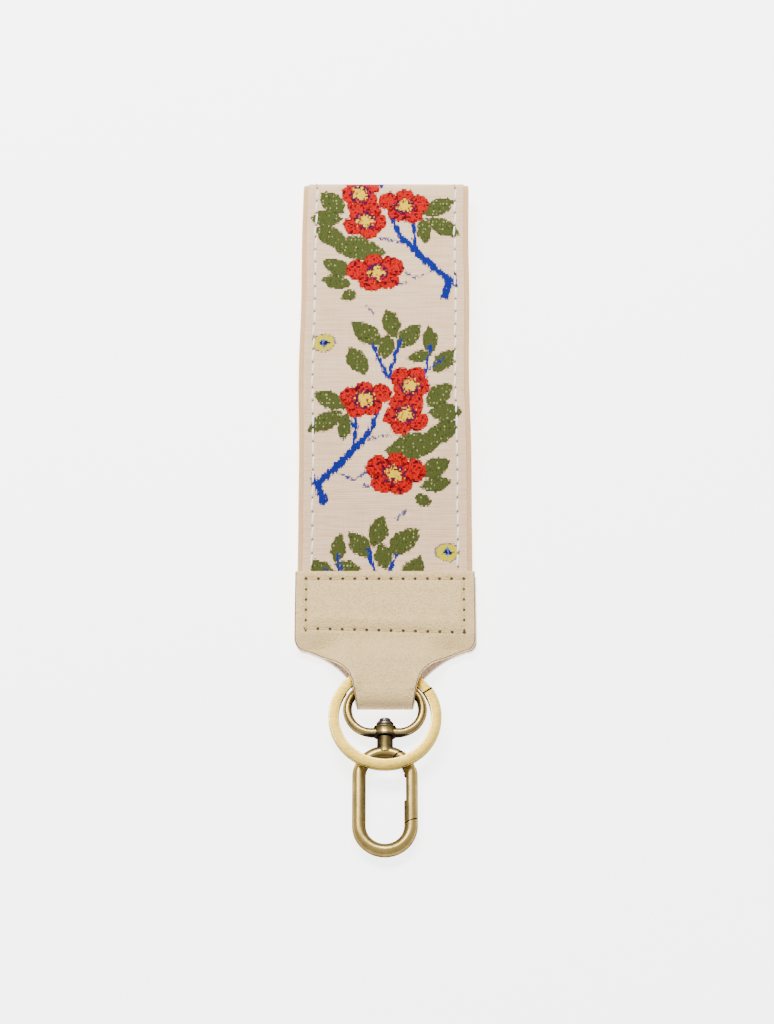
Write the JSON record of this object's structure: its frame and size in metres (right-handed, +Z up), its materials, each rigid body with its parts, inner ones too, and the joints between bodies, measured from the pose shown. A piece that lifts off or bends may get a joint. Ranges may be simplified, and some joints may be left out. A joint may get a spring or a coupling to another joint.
{
  "type": "wristlet keychain",
  "caption": "Wristlet keychain: looped webbing strap with a floral woven ribbon, folded leather tab, swivel snap hook on a wire bail, and a split key ring.",
  "frame": {"origin": "centre of the bounding box on the ground, the part lying flat on its back", "axes": "+Y along the strap from the hook to the loop's fold, +Z up out of the ribbon's face, +X to the right seen from above with the loop away from the viewer"},
  "size_m": [0.0406, 0.1703, 0.0081],
  "materials": {
    "webbing": "matt woven",
    "ribbon": "fine jacquard weave with a floral pattern",
    "thread": "matt twisted thread",
    "leather": "fine pebbled grain, semi-matt",
    "antique_brass": "antique, dark in the recesses, polished high spots",
    "ring_brass": "brushed satin, bright edges",
    "dark_steel": "blackened",
    "spring_steel": "bright"
  },
  "bodies": {
    "strap": {"strap_webbing": "webbing", "ribbon": "ribbon", "ribbon_stitch_left": "thread", "ribbon_stitch_right": "thread", "leather_tab": "leather", "tab_stitching": "thread"},
    "bail": {"swivel_bail": "antique_brass"},
    "hook": {"hook_frame": "antique_brass", "swivel_pin": "dark_steel", "swivel_washer": "dark_steel", "gate_pin": "antique_brass"},
    "gate": {"gate": "antique_brass", "gate_spring": "spring_steel"},
    "ring": {"split_ring": "ring_brass"}
  },
  "joints": [
    {"name": "bail_swing", "type": "hinge", "parent": "strap", "child": "bail", "pos_m": [0, -0.04529, 0.0023], "axis": [1, 0, 0], "range_deg": [0, 90], "deforming": ["leather_tab"]},
    {"name": "ring_lift", "type": "hinge", "parent": "strap", "child": "ring", "pos_m": [0, -0.04404, 0.004], "axis": [-1, 0, 0], "range_deg": [0, 60], "deforming": ["leather_tab"]},
    {"name": "hook_swivel", "type": "hinge", "parent": "bail", "child": "hook", "pos_m": [0, -0.05593, 0.0023], "axis": [0, 1, 0], "range_deg": [0, 180]},
    {"name": "gate_open", "type": "hinge", "parent": "hook", "child": "gate", "pos_m": [0.00506, -0.06474, 0.0023], "axis": [0, 0, -1], "range_deg": [0, 30], "stiffness_Nm_per_rad": 0.002, "springref_deg": -17.19}
  ],
  "couplings": [
    {"joint": "ring_lift", "follows": "hook_swivel", "ratio": 0.3333}
  ]
}
